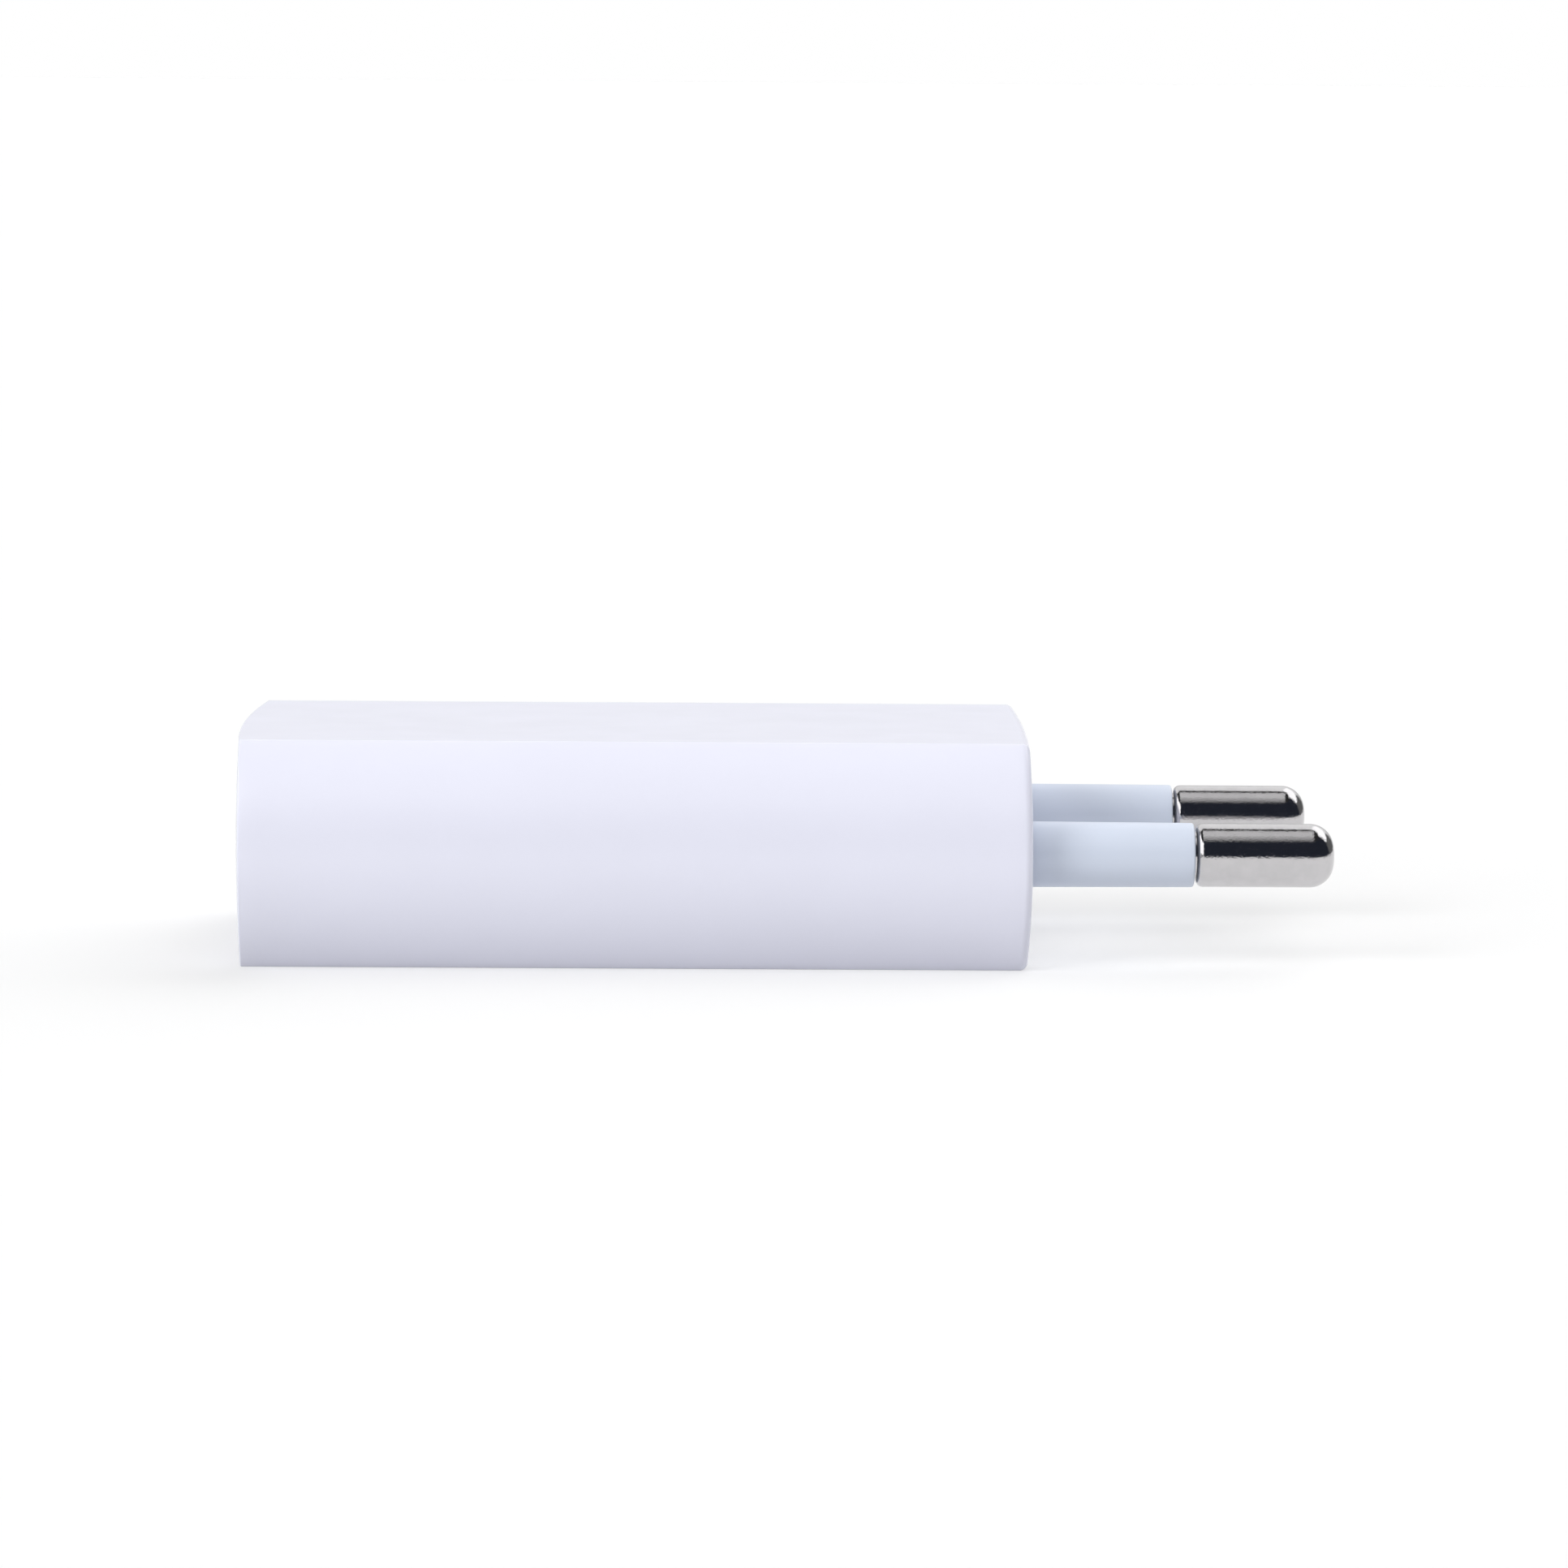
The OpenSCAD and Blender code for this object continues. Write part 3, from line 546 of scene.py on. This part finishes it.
def vary_roughness(material, texture, low, high, start=0.3, end=0.7):
    """Roughness from low to high as the texture goes from start to end."""
    spread = add_node(material, "ShaderNodeMapRange")
    spread.inputs["From Min"].default_value = start
    spread.inputs["From Max"].default_value = end
    spread.inputs["To Min"].default_value = low
    spread.inputs["To Max"].default_value = high
    links = material.node_tree.links
    links.new(texture.outputs["Fac"], spread.inputs["Value"])
    links.new(spread.outputs["Result"], shader_of(material).inputs["Roughness"])


def vary_colour(material, texture, first, second, low=0.35, high=0.65):
    """Colour from first to second as the texture goes from low to high."""
    ramp = add_node(material, "ShaderNodeValToRGB")
    ramp.color_ramp.elements[0].position = low
    ramp.color_ramp.elements[0].color = (*first, 1.0)
    ramp.color_ramp.elements[1].position = high
    ramp.color_ramp.elements[1].color = (*second, 1.0)
    links = material.node_tree.links
    links.new(texture.outputs["Fac"], ramp.inputs["Fac"])
    links.new(ramp.outputs["Color"], shader_of(material).inputs["Base Color"])


def add_bump(material, texture, strength, distance):
    bump = add_node(material, "ShaderNodeBump", Strength=strength, Distance=distance)
    links = material.node_tree.links
    links.new(texture.outputs["Fac"], bump.inputs["Height"])
    links.new(bump.outputs["Normal"], shader_of(material).inputs["Normal"])


def tint(colour, amount):
    return tuple(min(1.0, c * amount) for c in colour)


def moulded(name, colour, roughness):
    """Injection-moulded plastic: faint cloudiness, uneven gloss and a very fine skin."""
    material = new_material(name, colour, roughness)
    vary_colour(material, noise(material, 9 * MM, 2.0), tint(colour, 0.994), tint(colour, 1.006))
    vary_roughness(material, noise(material, 4 * MM, 2.0), roughness * 0.96, roughness * 1.04)
    add_bump(material, noise(material, 0.2 * MM, 2.0), 0.02, 0.001 * MM)
    return material


def plated(name, colour, roughness, pits):
    """Plated or bright metal: patchy tone, dull specks and fine pits."""
    material = new_material(name, colour, roughness, metallic=1.0)
    patches = noise(material, 0.9 * MM, 4.0)
    vary_colour(material, patches, tint(colour, 0.97), tint(colour, 1.03))
    specks = noise(material, 0.11 * MM, 2.0)
    vary_roughness(material, specks, roughness * 0.9, roughness * (1.2 + 4 * pits), 0.57, 0.75)
    add_bump(material, noise(material, 0.12 * MM, 3.0), pits, 0.02 * MM)
    return material


def sintered(name, colour, roughness, size):
    """Ferrite, ceramic and the like: a dry, grainy surface."""
    material = new_material(name, colour, roughness)
    grain = noise(material, size, 5.0)
    vary_colour(material, grain, tint(colour, 0.8), tint(colour, 1.25))
    vary_roughness(material, grain, roughness * 0.85, min(1.0, roughness * 1.1))
    add_bump(material, noise(material, size * 0.6, 4.0), 0.35, 0.02 * MM)
    return material


def enamelled_wire(name, colour):
    """Turns of fine wire, seen as close ridges round X. The colour has painted shade in the grooves
    between turns and a painted highlight on their crests.
    """
    wire_pitch = 0.2 * MM
    material = new_material(name, colour, 0.25, metallic=1.0, coat=0.6)
    links = material.node_tree.links
    place = add_node(material, "ShaderNodeTexCoord")
    wave = add_node(material, "ShaderNodeTexWave", Scale=1 / (3.2 * wire_pitch), Distortion=0.6)
    wave.bands_direction = "X"
    links.new(place.outputs["Object"], wave.inputs["Vector"])
    # Painted shade and highlight: the colour is darker in the grooves between turns and lighter on
    # their crests, following the bump.
    vary_colour(material, wave, tint(colour, 0.55), tint(colour, 1.15), 0.1, 0.7)
    add_bump(material, wave, 0.8, 0.06 * MM)
    return material


def circuit_green(name, colour):
    """Solder mask over glass fibre, with the copper under it showing as lighter islands."""
    material = new_material(name, colour, 0.3, coat=0.3)
    links = material.node_tree.links
    place = add_node(material, "ShaderNodeTexCoord")
    tracks = add_node(material, "ShaderNodeTexVoronoi", Scale=1 / (2.6 * MM))
    tracks.distance = "MANHATTAN"
    tracks.feature = "F1"
    links.new(place.outputs["Object"], tracks.inputs["Vector"])
    ramp = add_node(material, "ShaderNodeValToRGB")
    ramp.color_ramp.interpolation = "EASE"
    ramp.color_ramp.elements[0].position = 0.42
    ramp.color_ramp.elements[0].color = (*tint(colour, 1.5), 1.0)
    ramp.color_ramp.elements[1].position = 0.5
    ramp.color_ramp.elements[1].color = (*colour, 1.0)
    links.new(tracks.outputs["Distance"], ramp.inputs["Fac"])
    links.new(ramp.outputs["Color"], shader_of(material).inputs["Base Color"])
    add_bump(material, noise(material, 0.12 * MM, 2.0), 0.2, 0.01 * MM)
    return material


def fibre_paper(name, colour):
    """Pressed fibre, its grain drawn out along X."""
    material = new_material(name, colour, 0.85)
    fibres = noise(material, 0.35 * MM, 6.0, (3, 1, 1))
    vary_colour(material, fibres, tint(colour, 0.93), tint(colour, 1.04))
    add_bump(material, fibres, 0.5, 0.02 * MM)
    return material


# Colour and roughness.
PLASTICS = {
    "housing_white": ((0.842, 0.85, 0.972), 0.24),
    "sleeve_plastic": ((0.65, 0.71, 0.83), 0.36),
    "insulator_white": ((0.80, 0.80, 0.78), 0.45),
    "capacitor_film": ((0.03, 0.04, 0.075), 0.3),
    "seal_rubber": ((0.02, 0.02, 0.02), 0.8),
    "bobbin_black": ((0.018, 0.018, 0.02), 0.5),
    "yellow_tape": ((0.72, 0.47, 0.05), 0.35),
    "package_white": ((0.76, 0.74, 0.68), 0.5),
    "package_black": ((0.014, 0.014, 0.016), 0.55),
}
# Colour, roughness and depth of the pits.
METALS = {
    "pin_metal": ((0.565, 0.555, 0.565), 0.09, 0.45),
    "terminal_brass": ((0.70, 0.48, 0.17), 0.3, 0.3),
    "solder": ((0.62, 0.63, 0.65), 0.25, 0.5),
    "shell_metal": ((0.74, 0.74, 0.73), 0.3, 0.06),
    "contact_gold": ((0.83, 0.60, 0.24), 0.2, 0.15),
    "can_aluminium": ((0.72, 0.73, 0.74), 0.3, 0.2),
    "tinned_wire": ((0.66, 0.66, 0.65), 0.3, 0.3),
}
# Colour and size of the grain.
GRAINY = {
    "ferrite": ((0.030, 0.030, 0.033), 0.25 * MM),
    "resistor_body": ((0.13, 0.33, 0.37), 0.5 * MM),
    "disc_blue": ((0.02, 0.09, 0.36), 0.6 * MM),
    "chip_tan": ((0.36, 0.24, 0.13), 0.12 * MM),
}
GRAINY_ROUGHNESS = 0.55


def make_materials():
    """One material for each of the record's slots."""
    made = {}
    for slot, (colour, roughness) in PLASTICS.items():
        made[slot] = moulded(slot, colour, roughness)
    for slot, (colour, roughness, pits) in METALS.items():
        made[slot] = plated(slot, colour, roughness, pits)
    for slot, (colour, size) in GRAINY.items():
        made[slot] = sintered(slot, colour, GRAINY_ROUGHNESS, size)
    made["copper_wire"] = enamelled_wire("copper_wire", (0.66, 0.27, 0.10))
    made["board_green"] = circuit_green("board_green", (0.012, 0.12, 0.045))
    made["insulation_paper"] = fibre_paper("insulation_paper", (0.78, 0.74, 0.60))
    return made


def dress(materials):
    """Gives every carried-over CAD node and every new piece its slot's material."""
    slot_of = {s["node"]: s["material_slot"] for s in frame["record"]["subparts"]}
    for node, obj in frame["nodes"].items():
        obj.data.materials.clear()
        obj.data.materials.append(materials[slot_of[node]])
    for obj in bpy.context.scene.objects:
        if obj.type == "MESH" and "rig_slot" in obj:
            obj.data.materials.clear()
            obj.data.materials.append(materials[obj["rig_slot"]])


# ---------- Stage, light and camera ----------

FLOOR_SIZE = 400.0
FLOOR_GAP = 0.01 * MM
FLOOR_WHITE = 0.6
# The floor's own glow as it is seen, and as it lights the charger.
FLOOR_GLOW = 0.37
FLOOR_BOUNCE = 0.1
WORLD_LIGHT = 0.15
BACKGROUND_WHITE = 1.0

# Azimuth from the camera's side towards +X, elevation and width, all in degrees, and strength.
SUNS = {
    "overhead": (0, 88, 50, 0.5),
    "front_fill": (0, 50, 40, 0.75),
    "left_fill": (-50, 26, 32, 1.57),
    "right_key": (140, 40, 60, 1.62),
    "right_fill": (78, 12, 40, 0.3),
}

# Cards that the gloss sees: upright ones on a cylinder, overhead ones on a barrel vault.
ROOM_R = 0.62
VAULT_R = 1.28
VAULT_HALF_L = 0.9
STRIP_HALF_L = 0.3
CARD_GAP = 0.02
DARK_ROOM = (0.022, 0.026, 0.038)
DARK_CEILING = 0.03
SOFTBOX = 1.75
BACK_WALL = 1.1
LOW_BACK_WALL = 0.7
# Where each part of the light overhead starts and ends, in degrees of tilt, and its brightness.
OVERHEAD_STRIPS = (
    (50, 56, 0.05),
    (56, 61, 0.12),
    (61, 66, 0.3),
    (66, 71, 0.43),
    (71, 79, 0.54),
    (79, 107, 0.78),
)


def level_by_ray(tree, ray, this_ray, other_rays):
    """A level that is one value for one kind of ray, and another value for the rest."""
    path = tree.nodes.new("ShaderNodeLightPath")
    level = tree.nodes.new("ShaderNodeMapRange")
    level.inputs["To Min"].default_value = other_rays
    level.inputs["To Max"].default_value = this_ray
    tree.links.new(path.outputs[ray], level.inputs["Value"])
    return level.outputs["Result"]


def build_floor():
    half = FLOOR_SIZE / 2
    z = housing_low.z - FLOOR_GAP
    mesh = bpy.data.meshes.new("floor")
    corners = [(-half, -half, z), (half, -half, z), (half, half, z), (-half, half, z)]
    mesh.from_pydata(corners, [], [(0, 1, 2, 3)])
    pale = new_material("floor_white", (FLOOR_WHITE,) * 3, 1.0)
    shader = shader_of(pale)
    shader.inputs["Specular IOR Level"].default_value = 0.0
    shader.inputs["Emission Color"].default_value = (1.0, 1.0, 1.0, 1.0)
    glow = level_by_ray(pale.node_tree, "Is Diffuse Ray", FLOOR_BOUNCE, FLOOR_GLOW)
    pale.node_tree.links.new(glow, shader.inputs["Emission Strength"])
    mesh.materials.append(pale)
    add_object("floor", mesh)


def build_world():
    """Even light from all round. The camera sees the same white as the floor."""
    world = bpy.data.worlds.new("studio")
    world.use_nodes = True
    tree = world.node_tree
    sky = tree.nodes["Background"]
    sky.inputs["Color"].default_value = (1.0, 1.0, 1.0, 1.0)
    strength = level_by_ray(tree, "Is Camera Ray", BACKGROUND_WHITE, WORLD_LIGHT)
    tree.links.new(strength, sky.inputs["Strength"])
    bpy.context.scene.world = world


def build_suns():
    """Wide, soft suns. Gloss doesn't see them, because it has its own cards."""
    for name, (azimuth, elevation, width, strength) in SUNS.items():
        data = bpy.data.lights.new(name, "SUN")
        data.energy = strength
        data.angle = math.radians(width)
        light = add_object(name, data)
        light.visible_glossy = False
        a, e = math.radians(azimuth), math.radians(elevation)
        towards = Vector((math.sin(a) * math.cos(e), -math.cos(a) * math.cos(e), math.sin(e)))
        light.rotation_euler = towards.to_track_quat("Z", "Y").to_euler()


def glowing(name, colour):
    """A black surface with an even glow."""
    material = bpy.data.materials.new(name)
    material.use_nodes = True
    shader = shader_of(material)
    shader.inputs["Base Color"].default_value = (0.0, 0.0, 0.0, 1.0)
    shader.inputs["Specular IOR Level"].default_value = 0.0
    shader.inputs["Emission Color"].default_value = (*colour, 1.0)
    shader.inputs["Emission Strength"].default_value = 1.0
    return material


def reflector(name, rows, level):
    """A card that only gloss sees, from rows of points. Its level is a brightness or a colour."""
    count = len(rows[0])
    points = [p for row in rows for p in row]
    faces = [
        (i * count + k, i * count + k + 1, (i + 1) * count + k + 1, (i + 1) * count + k)
        for i in range(len(rows) - 1)
        for k in range(count - 1)
    ]
    mesh = bpy.data.meshes.new(name)
    mesh.from_pydata(points, [], faces)
    colour = level if isinstance(level, tuple) else (level,) * 3
    mesh.materials.append(glowing(name, colour))
    card = add_object(name, mesh)
    card.visible_camera = False
    card.visible_diffuse = False
    card.visible_shadow = False
    card.visible_transmission = False


def upright(r, azimuths, elevations):
    """Points on a cylinder of radius r round the charger, between two azimuths and elevations."""
    steps = 24
    rows = []
    for e in elevations:
        z = r * math.tan(math.radians(e))
        row = []
        for i in range(steps + 1):
            a = math.radians(azimuths[0] + (azimuths[1] - azimuths[0]) * i / steps)
            row.append((r * math.sin(a), -r * math.cos(a), z))
        rows.append(row)
    return rows


def overhead(r, half_width, tilts):
    """Points on a vault along X, between two tilts: 0 is the front horizon, 90 straight up."""
    steps = 8
    rows = []
    for i in range(steps + 1):
        t = math.radians(tilts[0] + (tilts[1] - tilts[0]) * i / steps)
        rows.append([(x, -r * math.cos(t), r * math.sin(t)) for x in (-half_width, half_width)])
    return rows


def build_reflectors():
    """What the gloss sees: a dark room in front, softboxes, a light overhead and a back wall."""
    reflector("dark_room", upright(ROOM_R, (-125, 98), (1, 58)), DARK_ROOM)
    reflector("left_softbox", upright(ROOM_R - CARD_GAP, (-112, -20), (7, 50)), SOFTBOX)
    reflector("right_softbox", upright(ROOM_R, (98, 165), (30, 62)), SOFTBOX)
    for low, high, level in OVERHEAD_STRIPS:
        reflector(f"overhead_{low}", overhead(VAULT_R, STRIP_HALF_L, (low, high)), level)
    ceiling = overhead(VAULT_R + CARD_GAP, VAULT_HALF_L, (50, 107))
    reflector("dark_ceiling", ceiling, DARK_CEILING)
    reflector("overhead_gap", overhead(VAULT_R, VAULT_HALF_L, (107, 119)), DARK_CEILING)
    reflector("back_wall", overhead(VAULT_R, VAULT_HALF_L, (119, 160)), BACK_WALL)
    reflector("low_back_wall", overhead(VAULT_R, VAULT_HALF_L, (160, 179.5)), LOW_BACK_WALL)


CAMERA_AT = Vector((-18.7, -362.9, 49.0)) * MM
CAMERA_DOWN = math.radians(7.20)
CAMERA_RIGHT = math.radians(0.48)
CAMERA_ROLL = math.radians(0.38)
CAMERA_LENS = 130.5
CAMERA_SENSOR = 36.0
CAMERA_NEAR = 0.01
CAMERA_FAR = 20.0


def build_camera():
    data = bpy.data.cameras.new("camera")
    data.lens = CAMERA_LENS
    data.sensor_width = CAMERA_SENSOR
    data.clip_start = CAMERA_NEAR
    data.clip_end = CAMERA_FAR
    camera = add_object("camera", data)
    turn = (
        Matrix.Rotation(-CAMERA_RIGHT, 4, "Z")
        @ Matrix.Rotation(math.pi / 2 - CAMERA_DOWN, 4, "X")
        @ Matrix.Rotation(CAMERA_ROLL, 4, "Z")
    )
    camera.matrix_world = Matrix.Translation(CAMERA_AT) @ turn
    bpy.context.scene.camera = camera


# ---------- Build ----------

build_camera()
build_world()
build_suns()
build_floor()
build_reflectors()
build_housing()
build_plug_cap()
for hand in ("left", "right"):
    build_pin("plug_pin_" + hand)
    build_sleeve("pin_sleeve_" + hand)
for node_name, edge_width in SOFTENED.items():
    soften(node_name, edge_width)
dress(make_materials())
bpy.context.scene.view_settings.view_transform = "Standard"
